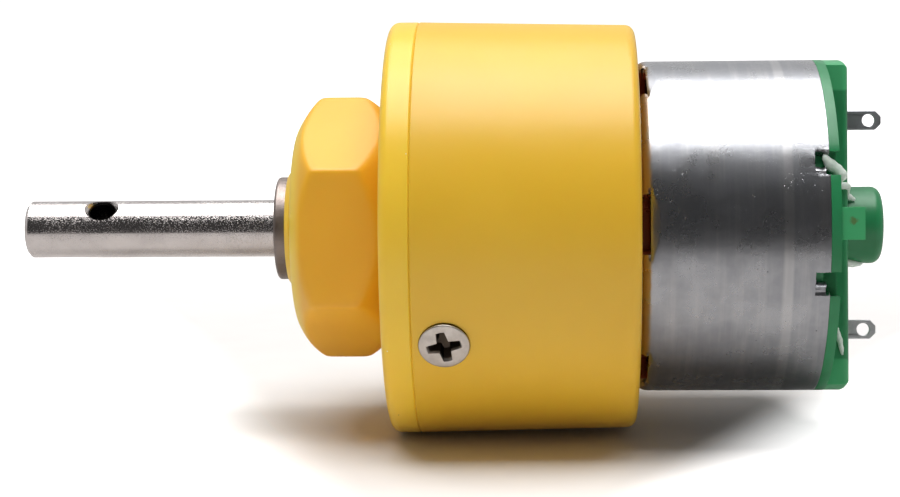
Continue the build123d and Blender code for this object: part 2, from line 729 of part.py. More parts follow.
with BuildPart() as cap_bearing:
    bearing_front = boss_inside - CAP_BEARING_LENGTH - 0.5
    bearing_rear = bearing_front + CAP_BEARING_LENGTH
    bearing = ring(bearing_front, bearing_rear, ROTOR_BEARING_BORE_R, CAP_BEARING_R)
    revolve(bearing, axis=Axis.X)
keep(cap_bearing, "cap_bearing")


def lug_outline(side, tip):
    """Flat terminal lug and brush arm, in the plane of the shaft and the terminals."""
    turn = radians(FRONT)
    facing = (0, cos(turn), sin(turn))
    outer = TERMINAL_R + TERMINAL_WIDTH / 2
    inner = TERMINAL_R - TERMINAL_WIDTH / 2
    with BuildSketch(Plane(origin=(0, 0, 0), x_dir=(1, 0, 0), z_dir=facing)) as section:
        with BuildLine():
            Polyline(
                (ARM_X[0], side * BRUSH_OUTER),
                (ARM_X[0], side * outer),
                (tip - TERMINAL_CORNER, side * outer),
                (tip, side * (outer - TERMINAL_CORNER)),
                (tip, side * (inner + TERMINAL_CORNER)),
                (tip - TERMINAL_CORNER, side * inner),
                (ARM_X[1], side * inner),
                (ARM_X[1], side * BRUSH_OUTER),
                close=True,
            )
        make_face()
        with Locations((tip - TERMINAL_HOLE_FROM_TIP, side * TERMINAL_R)):
            Circle(TERMINAL_HOLE_R, mode=Mode.SUBTRACT)
    return section.sketch


def terminal_side(name):
    """+1 or -1: the side of the shaft, across its own lug plane, that a terminal is on."""
    turn = radians(FRONT)
    up = Vector(0, cos(turn), sin(turn)).cross(Vector(1, 0, 0)).Z
    side = 1 if up > 0 else -1
    return side if name.endswith("upper") else -side


for name, tip in TERMINAL_TIPS.items():
    with BuildPart() as terminal:
        extrude(lug_outline(terminal_side(name), tip), amount=TERMINAL_T / 2, both=True)
    keep(terminal, name)

for name in ("brush_upper", "brush_lower"):
    side = 1 if name.endswith("lower") else -1
    with BuildPart() as brush:
        with BuildSketch(across(BRUSH_X[0], FRONT)):
            with Locations((0, side * (BRUSH_OUTER + COMMUTATOR_R - 0.6) / 2)):
                Rectangle(BRUSH_WIDTH, BRUSH_OUTER - COMMUTATOR_R + 0.6)
            Circle(COMMUTATOR_R + 0.03, mode=Mode.SUBTRACT)
        extrude(amount=BRUSH_X[1] - BRUSH_X[0])
    keep(brush, name)

# ---- rotor --------------------------------------------------------------------------------

with BuildPart() as rotor_shaft:
    revolve(ring(ROTOR_SHAFT_X[0], ROTOR_SHAFT_X[1], 0, ROTOR_SHAFT_R), axis=Axis.X)
    chamfer(rotor_shaft.edges().filter_by(GeomType.CIRCLE), length=0.2)
keep(rotor_shaft, "rotor_shaft")

shoe_arc = 360 / POLE_COUNT - degrees(POLE_GAP / CORE_R)
with BuildPart() as rotor_core:
    with BuildSketch(across(CORE_X[0])):
        Circle(CORE_HUB_R)
        for pole in range(POLE_COUNT):
            angle = 360 * pole / POLE_COUNT
            with Locations(polar((POLE_SHOE_INNER_R + 0.5) / 2, angle)):
                Rectangle(POLE_SHOE_INNER_R + 0.5, POLE_WIDTH, rotation=angle)
    extrude(amount=CORE_X[1] - CORE_X[0])
    for pole in range(POLE_COUNT):
        shoe = across(CORE_X[0], 360 * pole / POLE_COUNT)
        outline = sector(shoe, 0, shoe_arc, POLE_SHOE_INNER_R, CORE_R)
        extrude(outline, amount=CORE_X[1] - CORE_X[0], dir=REARWARD)
    with BuildSketch(across(CORE_X[0])):
        Circle(ROTOR_SHAFT_R)
    extrude(amount=CORE_X[1] - CORE_X[0], mode=Mode.SUBTRACT)
keep(rotor_core, "rotor_core")

with BuildPart() as rotor_windings:
    for pole in range(POLE_COUNT):
        arm = outward((CORE_X[0] + CORE_X[1]) / 2, 360 * pole / POLE_COUNT)
        with BuildSketch(arm.offset(COIL_INNER_R)):
            core_length = CORE_X[1] - CORE_X[0]
            RectangleRounded(core_length + 2 * COIL_OVERHANG, COIL_WIDTH, 1.2)
            Rectangle(core_length + 0.02, POLE_WIDTH + 0.02, mode=Mode.SUBTRACT)
        extrude(amount=COIL_OUTER_R - COIL_INNER_R)
keep(rotor_windings, "rotor_windings")

with BuildPart() as rotor_spacer:
    revolve(ring(*SPACER_X, ROTOR_SHAFT_R, 2.0), axis=Axis.X)
keep(rotor_spacer, "rotor_spacer")

with BuildPart() as rotor_washers:
    for start in ROTOR_WASHER_FRONTS:
        washer = ring(start, start + ROTOR_WASHER_T, ROTOR_SHAFT_R, 2.2)
        revolve(washer, axis=Axis.X)
keep(rotor_washers, "rotor_washers")

with BuildPart() as commutator_hub:
    revolve(
        lathe(
            (COMMUTATOR_X[0] - 0.6, ROTOR_SHAFT_R),
            (COMMUTATOR_X[1], ROTOR_SHAFT_R),
            (COMMUTATOR_X[1], COMMUTATOR_HUB_R),
            (COMMUTATOR_X[0], COMMUTATOR_HUB_R),
            (COMMUTATOR_X[0], COMMUTATOR_FLANGE_R),
            (COMMUTATOR_X[0] - 0.6, COMMUTATOR_FLANGE_R),
        ),
        axis=Axis.X,
    )
keep(commutator_hub, "commutator_hub")

segment_arc = 360 / POLE_COUNT - 8
with BuildPart() as commutator_segments:
    for segment in range(POLE_COUNT):
        start = across(COMMUTATOR_X[0], 360 * (segment + 0.5) / POLE_COUNT)
        outline = sector(start, 0, segment_arc, COMMUTATOR_HUB_R, COMMUTATOR_R)
        extrude(outline, amount=COMMUTATOR_X[1] - COMMUTATOR_X[0], dir=REARWARD)
keep(commutator_segments, "commutator_segments")

# ---- write every piece --------------------------------------------------------------------

os.makedirs("parts", exist_ok=True)
for piece in pieces:
    export_step(piece, f"parts/{piece.label}.step")
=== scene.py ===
"""Looks of a geared DC motor, around its CAD frame. Metres, +X towards the terminals, +Z up."""

import json
import math
import random

import bmesh
import bpy
from mathutils import Matrix, Vector


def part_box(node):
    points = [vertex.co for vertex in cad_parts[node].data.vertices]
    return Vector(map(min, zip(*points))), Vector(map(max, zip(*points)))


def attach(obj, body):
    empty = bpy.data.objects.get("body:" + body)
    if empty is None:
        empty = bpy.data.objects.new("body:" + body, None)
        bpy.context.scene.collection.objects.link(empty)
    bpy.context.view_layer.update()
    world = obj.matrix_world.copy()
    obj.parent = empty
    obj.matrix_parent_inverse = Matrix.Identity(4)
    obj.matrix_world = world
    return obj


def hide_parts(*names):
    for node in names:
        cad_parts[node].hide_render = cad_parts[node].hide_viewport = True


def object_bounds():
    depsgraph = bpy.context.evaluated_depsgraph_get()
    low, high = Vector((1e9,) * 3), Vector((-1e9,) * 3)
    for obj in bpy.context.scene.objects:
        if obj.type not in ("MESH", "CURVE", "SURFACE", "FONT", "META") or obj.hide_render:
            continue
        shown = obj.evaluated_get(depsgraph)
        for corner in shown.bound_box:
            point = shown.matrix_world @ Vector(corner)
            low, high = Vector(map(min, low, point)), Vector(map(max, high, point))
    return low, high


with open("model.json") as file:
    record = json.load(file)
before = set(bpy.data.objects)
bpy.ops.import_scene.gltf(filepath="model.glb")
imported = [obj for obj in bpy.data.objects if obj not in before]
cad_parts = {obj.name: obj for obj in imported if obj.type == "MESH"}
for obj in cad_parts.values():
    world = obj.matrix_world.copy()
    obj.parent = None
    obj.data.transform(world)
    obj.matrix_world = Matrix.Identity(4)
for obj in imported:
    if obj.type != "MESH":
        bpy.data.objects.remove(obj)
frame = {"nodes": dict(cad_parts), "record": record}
cad_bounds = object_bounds()

MM = 0.001
NODES = frame["nodes"]
SLOTS = {row["node"]: row["material_slot"] for row in frame["record"]["subparts"]}

# ---- sizes in mm and degrees that the pieces share ----------------------------------------

FRONT = 171.5  # the side of the motor towards the camera, in degrees from +Y towards +Z

JOURNAL_R = 2.8
TIP_CHAMFER = ((0, 0.5), (0.03, 0.42), (0.36, 0.05), (0.42, 0))  # along from the end, and inwards
REAR_CHAMFER = 0.3
BUSH_GAP = 0.05
RING_GROOVE = (-4.15, -3.55)  # the snap ring's groove, along the shaft
RING_GROOVE_DEPTH = 0.4
HOLE_X = -30.65
HOLE_R = 1.25
HOLE_MOUTH = 1.8
HOLE_ANGLE = FRONT - 46.5

NECK_R = 6.2
NECK_CHAMFER = ((0, 0.5), (0.15, 0.3), (0.5, 0))  # along from the neck's end, and inwards
NECK_ROOT = 0.1
THREAD_PITCH = 1.4
THREAD_DEPTH = 0.45
COVER_BORE_R = 4.0
COVER_INSIDE_R = 16.9
COVER_WALL = 2.5
COVER_EDGE = 1.0  # radius of its rounded front rim
COVER_FACE_RING = 4.0  # the face has a ring of points this far inside its rim, for even shading
SEAM_CHAMFER = ((0.3, 0), (0.14, 0.01), (0.03, 0.1), (0, 0.16))  # along from the seam, and inwards

NUT_FACE = FRONT + 5.9  # the way one of its flats faces
NUT_FLATS = 24.0
NUT_CORNER_R = 13.77
NUT_CLEARANCE = 0.08
NUT_UNCUT_R = NUT_CORNER_R + 1.2  # of the round body that the flats are cut from
# The nut's coned ends, before the flats are cut: mm in from the end, and radius.
NUT_NOSE = [(0, 9.6), (0.04, 9.9), (0.13, 10.25), (0.27, 10.6), (0.5, 11.05), (0.83, 11.6)]
NUT_NOSE += [(1.25, 12.25), (1.65, 12.8), (2.05, 13.3), (2.5, 13.8), (3.2, 14.5), (3.9, NUT_UNCUT_R)]
NUT_TAIL = [(0, 11.4), (0.05, 11.6), (0.2, 11.8), (0.5, 12.05), (1.2, 12.65), (1.9, 13.25)]
NUT_TAIL += [(2.6, 13.85), (3.3, 14.5), (3.9, NUT_UNCUT_R)]
NUT_MIDDLE = 4.3  # where the straight middle of the outline starts, in from either end

SCREW_ANGLES = (FRONT + 32.7, FRONT + 212.7)
SCREW_FACE = 21.8  # the height of a cover screw's recess, off the shaft's axis
# A cover screw's outline: mm off the shaft's axis, and mm off the screw's own axis.
SCREW_SHANK = [(16.2, 0), (16.2, 0.85), (16.8, 1.25), (20.22, 1.25), (21.44, 2.46)]
SCREW_RIM = [(21.5, 2.5), (21.58, 2.5), (21.65, 2.46), (21.69, 2.38), (21.71, 2.28)]
SCREW_DOME = [(21.74, 2.0), (21.78, 1.5), (21.81, 0.8), (21.82, 0)]
# The cross recess's top and floor: height, reach of an arm, half its width, and inner corner.
CROSS_LAYERS = ((0.35, 1.84, 0.46, 0.62), (-1.5, 1.05, 0.30, 0.42))
CROSS_BULGE = 0.06
CROSS_TURN = 12.0

CAN_SHEET = 1.0
CAN_SHOULDER = 1.2
CAN_BOSS_R = 5.0
CAN_BOSS_WALL = 0.5
NOTCH_ANGLES = (FRONT - 20, FRONT + 20, FRONT + 160, FRONT + 200)
NOTCH_HALF = 4
NOTCH_DEPTH = 1.4
NOTCH_ROUGHNESS = 0.045
RIM_ROUGHNESS = 0.012
WINDOW_PITCH = 60
WINDOW_HALF = 10
WINDOW_LENGTH = 1.0
WINDOW_INNER_R = 14.4
CAN_FACE_RINGS = (CAN_BOSS_R, 9.0, WINDOW_INNER_R, 15.4)  # radii of the front wall's rings of points
DENT_HALF = 11.5  # the can is pressed in slightly behind each window
DENT_REACH = 0.95
DENT_DEPTH = 0.16
# Punched-in corners of notches: name, direction, depth and width.
STAKES = (("lower", FRONT + 22.7, 0.25, 1.0), ("upper", FRONT - 16.9, 0.15, 0.3))

# CAD nodes that show, and the width of their rounded edges.
SOFT_EDGES = (("end_cap", 0.22), ("terminal_upper", 0.1), ("terminal_lower", 0.1))


def box_mm(node):
    """Lowest and highest corner of a CAD node in mm."""
    return [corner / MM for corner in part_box(node)]


def at(x, radius, angle):
    """Point in metres from mm along the shaft, mm off its axis and degrees from +Y towards +Z."""
    turn = math.radians(angle)
    return Vector((x, radius * math.cos(turn), radius * math.sin(turn))) * MM


def seen(x, near, up):
    """Point in metres from mm along the shaft, mm towards the front side and mm up that side."""
    turn = math.radians(FRONT)
    front = Vector((0, math.cos(turn), math.sin(turn)))
    return (Vector((x, 0, 0)) + front * near + Vector((1, 0, 0)).cross(front) * -up) * MM


# ---- camera -------------------------------------------------------------------------------

CAMERA_ELEVATION = 8.0
CAMERA_DISTANCE = 219.5 * MM
CAMERA_ALONG = 16.5 * MM  # where along the shaft the camera stands
CAMERA_YAW = 2.75
CAMERA_PITCH = -0.585
CAMERA_ROLL = -0.33
LENS = 83.4


def make_camera():
    """Camera close to the motor and a little above it, nearly square to the shaft."""
    tilt = math.radians(CAMERA_ELEVATION)
    right = Vector((1, 0, 0))
    back = Vector((0, -math.cos(tilt), math.sin(tilt)))
    facing = Matrix((right, back.cross(right), back)).transposed()
    turn = Matrix.Rotation(math.radians(CAMERA_YAW), 3, "Y")
    turn @= Matrix.Rotation(math.radians(CAMERA_PITCH), 3, "X")
    turn @= Matrix.Rotation(math.radians(CAMERA_ROLL), 3, "Z")
    data = bpy.data.cameras.new("camera")
    data.lens = LENS
    data.sensor_width = 36.0
    data.clip_start = 0.01
    data.clip_end = 20.0
    camera = bpy.data.objects.new("camera", data)
    place = back * CAMERA_DISTANCE + Vector((CAMERA_ALONG, 0, 0))
    camera.matrix_world = Matrix.Translation(place) @ (facing @ turn).to_4x4()
    bpy.context.scene.collection.objects.link(camera)
    bpy.context.scene.camera = camera


# ---- shader building ----------------------------------------------------------------------


def add_node(tree, kind, links=(), **settings):
    """One shader node, its settings, and its inputs as (input, value or socket) pairs."""
    node = tree.nodes.new(kind)
    for key, value in settings.items():
        setattr(node, key, value)
    for key, value in links:
        if isinstance(value, bpy.types.NodeSocket):
            tree.links.new(value, node.inputs[key])
        else:
            node.inputs[key].default_value = value
    return node


class Shader:
    """A material's nodes, built by short calls. Textures use the piece's own coordinates in mm."""

    def __init__(self, name):
        self.material = bpy.data.materials.new(name)
        self.material.use_nodes = True
        self.tree = self.material.node_tree
        self.surface = self.tree.nodes["Principled BSDF"]
        self.place = None

    def add(self, kind, links=(), **settings):
        """One node of this material."""
        return add_node(self.tree, kind, links, **settings)

    def coords(self, stretch=(1, 1, 1)):
        """The piece's own coordinates in mm, each divided by its stretch."""
        if self.place is None:
            self.place = self.add("ShaderNodeTexCoord")
        scale = tuple(1 / (MM * s) for s in stretch)
        links = [("Vector", self.place.outputs["Object"]), ("Scale", scale)]
        return self.add("ShaderNodeMapping", links).outputs["Vector"]

    def noise(self, size, detail=3.0, rough=0.5, stretch=(1, 1, 1)):
        """Soft noise with features of about size mm."""
        links = [("Vector", self.coords(stretch)), ("Scale", 1 / size)]
        links += [("Detail", detail), ("Roughness", rough)]
        return self.add("ShaderNodeTexNoise", links).outputs["Fac"]

    def cells(self, size):
        """Distance from the middle of the nearest cell, with cells of about size mm."""
        links = [("Vector", self.coords()), ("Scale", 1 / size)]
        return self.add("ShaderNodeTexVoronoi", links).outputs["Distance"]

    def span(self, value, low, high, to_low=0.0, to_high=1.0, smooth=True):
        """Value mapped from low..high to another range, and clamped."""
        kind = "SMOOTHSTEP" if smooth else "LINEAR"
        links = [("Value", value), ("From Min", low), ("From Max", high)]
        links += [("To Min", to_low), ("To Max", to_high)]
        return self.add("ShaderNodeMapRange", links, interpolation_type=kind).outputs["Result"]

    def apart(self):
        """The piece's own X, Y and Z in mm."""
        return self.add("ShaderNodeSeparateXYZ", [(0, self.coords())]).outputs

    def along(self):
        """Distance along the shaft's axis in mm."""
        return self.apart()["X"]

    def distance(self, first, second):
        """Distance of a point that is first mm and second mm away along two square directions."""
        squares = [self.maths("POWER", value, 2.0) for value in (first, second)]
        return self.maths("SQRT", self.maths("ADD", *squares))

    def off_axis(self):
        """Distance from the shaft's axis in mm."""
        apart = self.apart()
        return self.distance(apart["Y"], apart["Z"])

    def off_hole(self):
        """Distance from the axis of the output shaft's cross hole in mm."""
        apart = self.apart()
        turn = math.radians(HOLE_ANGLE)
        side = self.maths("MULTIPLY", apart["Y"], -math.sin(turn))
        side = self.maths("MULTIPLY_ADD", apart["Z"], math.cos(turn), side)
        return self.distance(self.maths("SUBTRACT", apart["X"], HOLE_X), side)

    def maths(self, operation, *values):
        """One arithmetic step."""
        return self.add("ShaderNodeMath", list(enumerate(values)), operation=operation).outputs[0]

    def mix(self, factor, first, second):
        """Colour between first and second."""
        plain = [c if isinstance(c, bpy.types.NodeSocket) else (*c, 1) for c in (first, second)]
        links = [(0, factor), (6, plain[0]), (7, plain[1])]
        return self.add("ShaderNodeMix", links, data_type="RGBA").outputs[2]

    def bump(self, height, distance, normal=None):
        """Surface relief: height from 0 to 1 stands for distance mm."""
        links = [("Height", height), ("Distance", distance * MM), ("Strength", 1.0)]
        if normal is not None:
            links.append(("Normal", normal))
        return self.add("ShaderNodeBump", links).outputs["Normal"]

    def finish(self, **values):
        """Sets the surface's inputs, given with _ for a space, and returns the material."""
        for key, value in values.items():
            socket = self.surface.inputs[key.replace("_", " ")]
            if isinstance(value, bpy.types.NodeSocket):
                self.tree.links.new(value, socket)
            elif socket.type == "RGBA":
                socket.default_value = (*value, 1)
            else:
                socket.default_value = value
        return self.material


# ---- materials ----------------------------------------------------------------------------

# Where tones and painted light change, in mm: along the shaft, unless it says otherwise.
NOSE_GLOW_FADE = (-8.3, -9.6)  # the nut's front, painted paler with the glow of light through it
BULGE_HIGHLIGHT_BAND = ((38.9, 39.3), (40.2, 39.9))  # painted highlight: the bright ring of a slight bulge drawn into the can
HOUSING_REFLECTION_FADE = (26.9, 26.3)  # painted yellow reflection of the housing on the can's front corner
CAN_SHADED_INSIDE = ((16.75, 16.5), (42.0, 41.0))  # painted dark red-brown shade inside the can: off the shaft's axis, and along it
RECESS_DARKENING = (21.6, 21.3)  # off the shaft's axis, in the cover screws' recesses
TAB_GLOW = ((44.6, 44.7), (14.6, 14.9))  # painted glow through the thin tab: along the shaft, and off its axis
GATE = (45.75, 16.95, 0.25)  # the mark of the mould's gate on the tab, as seen() takes it


def yellow_plastic(name, colour, shade, roughness, front=None):
    """Semi-gloss moulded plastic with a soft orange peel and dust, and a painted glow of light
    through its front if given.
    """
    s = Shader(name)
    cloud = s.span(s.noise(14.0, 2.0), 0.35, 0.65)
    tint = s.mix(cloud, colour, shade)
    # painted glow: the front is paler where light shines through the thin nose
    if front is not None:
        tint = s.mix(s.span(s.along(), *NOSE_GLOW_FADE), tint, front)
    rare = s.span(s.noise(5.0, 1.0), 0.58, 0.62)
    dust = s.maths("MULTIPLY", s.span(s.cells(2.6), 0.035, 0.015), rare)
    tint = s.mix(dust, tint, (0.16, 0.09, 0.02))
    fluff = s.maths("MULTIPLY", s.span(s.cells(4.3), 0.02, 0.008), s.span(rare, 1.0, 0.4))
    tint = s.mix(fluff, tint, (0.95, 0.93, 0.86))
    peel = s.bump(s.noise(1.6, 2.0), 0.012)
    grain = s.bump(s.noise(0.22, 3.0, 0.6), 0.0025, peel)
    gloss = s.span(s.noise(9.0, 2.0), 0.3, 0.7, roughness - 0.02, roughness + 0.02)
    return s.finish(
        Base_Color=tint,
        Roughness=gloss,
        Normal=grain,
        IOR=1.5,
        Subsurface_Weight=0.12,
        Subsurface_Radius=(1.0, 0.35, 0.08),
        Subsurface_Scale=1.2 * MM,
    )


def turned_steel(name, colour, roughness, ring=0.12, pits=0.0, shaded_bore=False):
    """Turned or ground metal: rings across the axis, faint haze, and pits or painted shade in the
    cross hole if asked.
    """
    s = Shader(name)
    rings = s.noise(ring, 3.0, 0.6, (1, 60, 60))
    haze = s.noise(3.0, 4.0, 0.6)
    tone = s.mix(s.span(haze, 0.3, 0.7), colour, tuple(0.86 * c for c in colour))
    normal = s.bump(rings, 0.0008)
    if pits:
        patchy = s.span(s.noise(5.0, 2.0, 0.5), 0.35, 0.6, 0.5, 1.0)
        speck = s.maths("MULTIPLY", s.span(s.noise(0.13, 2.0, 0.6), 0.5, 0.72), patchy)
        normal = s.bump(speck, -pits, normal)
    # painted shade: the cross hole's bore is darkened in the colour
    if shaded_bore:
        tone = s.mix(s.span(s.off_hole(), HOLE_R + 0.22, HOLE_R + 0.12), tone, (0.03, 0.028, 0.026))
    gloss = s.span(haze, 0.3, 0.7, roughness, roughness + 0.08)
    if pits:
        gloss = s.maths("MULTIPLY_ADD", speck, 0.26, gloss)
    return s.finish(Base_Color=tone, Metallic=1.0, Roughness=gloss, Normal=normal)


def can_steel(name):
    """Zinc-plated drawn steel: draw rings, cloudy haze, pits and scuffs, a painted highlight ring
    near the rear, a painted yellow reflection on the front corner, and painted dark red-brown shade
    inside.
    """
    s = Shader(name)
    rings = s.noise(0.9, 4.0, 0.6, (1, 18, 18))
    cloud = s.noise(4.0, 5.0, 0.6)
    tone = s.mix(s.span(cloud, 0.3, 0.7), (0.43, 0.435, 0.455), (0.33, 0.335, 0.36))
    tone = s.mix(s.span(rings, 0.45, 0.75, 0.0, 0.4), tone, (0.54, 0.53, 0.53))
    # painted highlight where a slight bulge near the rear catches the light
    bulge_highlight = s.maths("MULTIPLY", *[s.span(s.along(), *ends) for ends in BULGE_HIGHLIGHT_BAND])
    tone = s.mix(s.maths("MULTIPLY", bulge_highlight, 0.45), tone, (0.62, 0.61, 0.61))
    some = s.span(s.noise(2.5, 2.0), 0.5, 0.62)
    pit = s.maths("MULTIPLY", s.span(s.cells(1.1), 0.09, 0.04), some)
    tone = s.mix(pit, tone, (0.12, 0.12, 0.13))
    # painted reflection: the yellow housing's tint on the can's front corner
    edge = s.maths("MULTIPLY_ADD", s.noise(1.5, 2.0), 0.8, s.along())
    tone = s.mix(s.span(edge, *HOUSING_REFLECTION_FADE, 0.0, 0.8), tone, (0.50, 0.33, 0.20))
    # painted shade: the inside is dark red-brown and less metallic
    inward, forward = CAN_SHADED_INSIDE
    inside = s.maths("MULTIPLY", s.span(s.off_axis(), *inward), s.span(s.along(), *forward))
    tone = s.mix(inside, tone, (0.30, 0.06, 0.02))
    normal = s.bump(rings, 0.0015)
    normal = s.bump(s.noise(3.5, 4.0, 0.55), 0.025, normal)
    normal = s.bump(s.noise(0.25, 3.0, 0.8), 0.003, normal)
    scuff = s.maths("MULTIPLY", s.span(s.noise(0.16, 2.0, 0.7, (1, 1, 2)), 0.62, 0.8), some)
    normal = s.bump(s.maths("ADD", pit, scuff), -0.02, normal)
    gloss = s.span(cloud, 0.3, 0.7, 0.25, 0.34)
    metal = s.span(inside, 0.0, 1.0, 1.0, 0.3)
    return s.finish(Base_Color=tone, Metallic=metal, Roughness=gloss, Normal=normal)


def moulded(name, colour, shade, roughness, relief=0.006):
    """Plain moulded plastic with flow marks and a fine grain."""
    s = Shader(name)
    flow = s.noise(5.0, 3.0, 0.6)
    tint = s.mix(s.span(flow, 0.3, 0.7), colour, shade)
    normal = s.bump(s.noise(0.7, 3.0, 0.6), relief)
    gloss = s.span(flow, 0.3, 0.7, roughness, roughness + 0.12)
    return s.finish(Base_Color=tint, Roughness=gloss, Normal=normal, IOR=1.5)


def plated(name, colour, roughness, dark_recess=False):
    """Plated metal, slightly cloudy, and darker deeper in the cover screws' recesses if asked."""
    s = Shader(name)
    cloud = s.noise(1.2, 4.0, 0.6)
    tone = s.mix(s.span(cloud, 0.3, 0.7), colour, tuple(0.8 * c for c in colour))
    # darker deeper in the cover screws' cross recesses, if asked
    if dark_recess:
        turn = math.radians(SCREW_ANGLES[1])
        apart = s.apart()
        depth = s.maths("MULTIPLY", apart["Y"], math.cos(turn))
        depth = s.maths("ABSOLUTE", s.maths("MULTIPLY_ADD", apart["Z"], math.sin(turn), depth))
        tone = s.mix(s.span(depth, *RECESS_DARKENING), tone, (0.09, 0.07, 0.055))
    normal = s.bump(s.noise(0.12, 2.0), 0.002)
    gloss = s.span(cloud, 0.3, 0.7, roughness, roughness + 0.12)
    return s.finish(Base_Color=tone, Metallic=1.0, Roughness=gloss, Normal=normal)


def tinned(name):
    """Tinned brass with painted shade on the terminal above the shaft's axis and painted light on the
    one below it.
    """
    s = Shader(name)
    # painted light and shade: darker above the shaft's axis, paler below it
    tone = s.mix(s.span(s.apart()["Z"], -4.0, 4.0), (0.88, 0.88, 0.90), (0.46, 0.47, 0.50))
    cloud = s.noise(1.2, 4.0, 0.6)
    tone = s.mix(s.span(cloud, 0.3, 0.7, 0.0, 0.4), tone, (0.40, 0.40, 0.42))
    normal = s.bump(s.noise(0.12, 2.0), 0.002)
    gloss = s.span(cloud, 0.3, 0.7, 0.40, 0.52)
    return s.finish(Base_Color=tone, Metallic=1.0, Roughness=gloss, Normal=normal)


def green_plastic(name, colour, shade, pale):
    """The end cap's plastic: a painted glow of light through its thin front tab, with a brown gate
    mark there.
    """
    s = Shader(name)
    flow = s.noise(5.0, 3.0, 0.6)
    tint = s.mix(s.span(flow, 0.3, 0.7), colour, shade)
    back, outward = TAB_GLOW
    # painted glow: the thin front tab is paler where light shines through it
    tab = s.maths("MULTIPLY", s.span(s.along(), *back), s.span(s.off_axis(), *outward))
    tint = s.mix(tab, tint, pale)
    links = [(0, s.coords()), (1, tuple(seen(*GATE) / MM))]
    gate = s.add("ShaderNodeVectorMath", links, operation="DISTANCE").outputs["Value"]
    ragged = s.maths("ADD", gate, s.span(s.noise(0.3), 0.0, 1.0, -0.3, 0.3, False))
    tint = s.mix(s.span(ragged, 0.5, 0.2, 0.0, 0.7), tint, (0.10, 0.10, 0.02))
    normal = s.bump(s.noise(0.7, 3.0, 0.6), 0.006)
    gloss = s.span(flow, 0.3, 0.7, 0.34, 0.44)
    return s.finish(
        Base_Color=tint,
        Roughness=gloss,
        Normal=normal,
        IOR=1.5,
        Subsurface_Weight=0.15,
        Subsurface_Radius=(0.2, 0.9, 0.4),
        Subsurface_Scale=0.8 * MM,
    )


def laminated(name):
    """Edges of thin sheets stacked along the shaft's axis."""
    s = Shader(name)
    links = [("Vector", s.coords()), ("Scale", 0.32)]
    sheets = s.add("ShaderNodeTexWave", links).outputs["Fac"]
    tone = s.mix(s.span(sheets, 0.2, 0.5), (0.05, 0.05, 0.06), (0.32, 0.32, 0.34))
    normal = s.bump(sheets, 0.02)
    return s.finish(Base_Color=tone, Metallic=0.9, Roughness=0.42, Normal=normal)


def wound(name):
    """Enamelled wire wound side by side."""
    s = Shader(name)
    links = [("Vector", s.coords()), ("Scale", 0.8), ("Distortion", 0.6)]
    turns = s.add("ShaderNodeTexWave", links).outputs["Fac"]
    tone = s.mix(s.span(turns, 0.1, 0.6), (0.12, 0.03, 0.01), (0.58, 0.22, 0.07))
    normal = s.bump(turns, 0.06)
    return s.finish(Base_Color=tone, Metallic=0.8, Roughness=0.28, Normal=normal, Coat_Weight=0.6)


def set_glue(name):
    """Whitish set glue, slightly see-through."""
    s = Shader(name)
    tint = s.mix(s.span(s.noise(0.8, 3.0), 0.35, 0.65), (0.74, 0.80, 0.74), (0.60, 0.70, 0.62))
    normal = s.bump(s.noise(0.35, 3.0, 0.6), 0.05)
    return s.finish(
        Base_Color=tint,
        Roughness=0.5,
        Normal=normal,
        Subsurface_Weight=0.4,
        Subsurface_Radius=(0.8, 0.8, 0.7),
        Subsurface_Scale=0.6 * MM,
    )


YELLOW = (0.83, 0.50, 0.034)
YELLOW_SHADE = (0.80, 0.475, 0.028)
LEMON = (0.95, 0.615, 0.046)
LEMON_SHADE = (0.92, 0.585, 0.040)
ORANGE = (0.90, 0.47, 0.024)
ORANGE_SHADE = (0.86, 0.44, 0.020)
# the nut's front: a painted glow of light shining through it
ORANGE_FRONT_GLOW = (0.95, 0.66, 0.055)
GREEN = (0.018, 0.225, 0.080)
GREEN_SHADE = (0.014, 0.19, 0.066)
GREEN_THIN_GLOW = (0.05, 0.36, 0.14)

MATERIALS = {
    "steel_shaft": turned_steel("shaft_steel", (0.70, 0.65, 0.635), 0.12, pits=0.012, shaded_bore=True),
    "bush_metal": turned_steel("sintered_iron", (0.30, 0.25, 0.23), 0.34, 0.3, 0.02),
    "nut_plastic": yellow_plastic("nut_plastic", ORANGE, ORANGE_SHADE, 0.40, ORANGE_FRONT_GLOW),
    "cover_plastic": yellow_plastic("cover_plastic", LEMON, LEMON_SHADE, 0.32),
    "housing_plastic": yellow_plastic("housing_plastic", YELLOW, YELLOW_SHADE, 0.36),
    "screw_nickel": plated("nickel", (0.70, 0.65, 0.61), 0.30, dark_recess=True),
    "gear_nylon": moulded("nylon", (0.80, 0.78, 0.70), (0.72, 0.70, 0.62), 0.38),
    "gear_steel": turned_steel("sintered_steel", (0.40, 0.39, 0.38), 0.36, 0.4, 0.015),
    "pin_steel": turned_steel("pin_steel", (0.62, 0.61, 0.60), 0.18),
    "brass": turned_steel("brass", (0.72, 0.50, 0.20), 0.24),
    "can_zinc": can_steel("zinc_steel"),
    "magnet_ferrite": moulded("ferrite", (0.035, 0.035, 0.04), (0.06, 0.06, 0.065), 0.6, 0.02),
    "spring_steel": plated("spring_steel", (0.30, 0.30, 0.33), 0.30),
    "cap_plastic": green_plastic("green_plastic", GREEN, GREEN_SHADE, GREEN_THIN_GLOW),
    "terminal_tin": tinned("tinned_brass"),
    "carbon": moulded("carbon", (0.02, 0.02, 0.02), (0.04, 0.04, 0.04), 0.55, 0.01),
    "lamination": laminated("laminations"),
    "copper_wire": wound("copper_wire"),
    "copper": turned_steel("copper", (0.75, 0.36, 0.20), 0.26),
    "phenolic": moulded("phenolic", (0.14, 0.06, 0.03), (0.10, 0.04, 0.02), 0.45),
    "glue": set_glue("set_glue"),
}


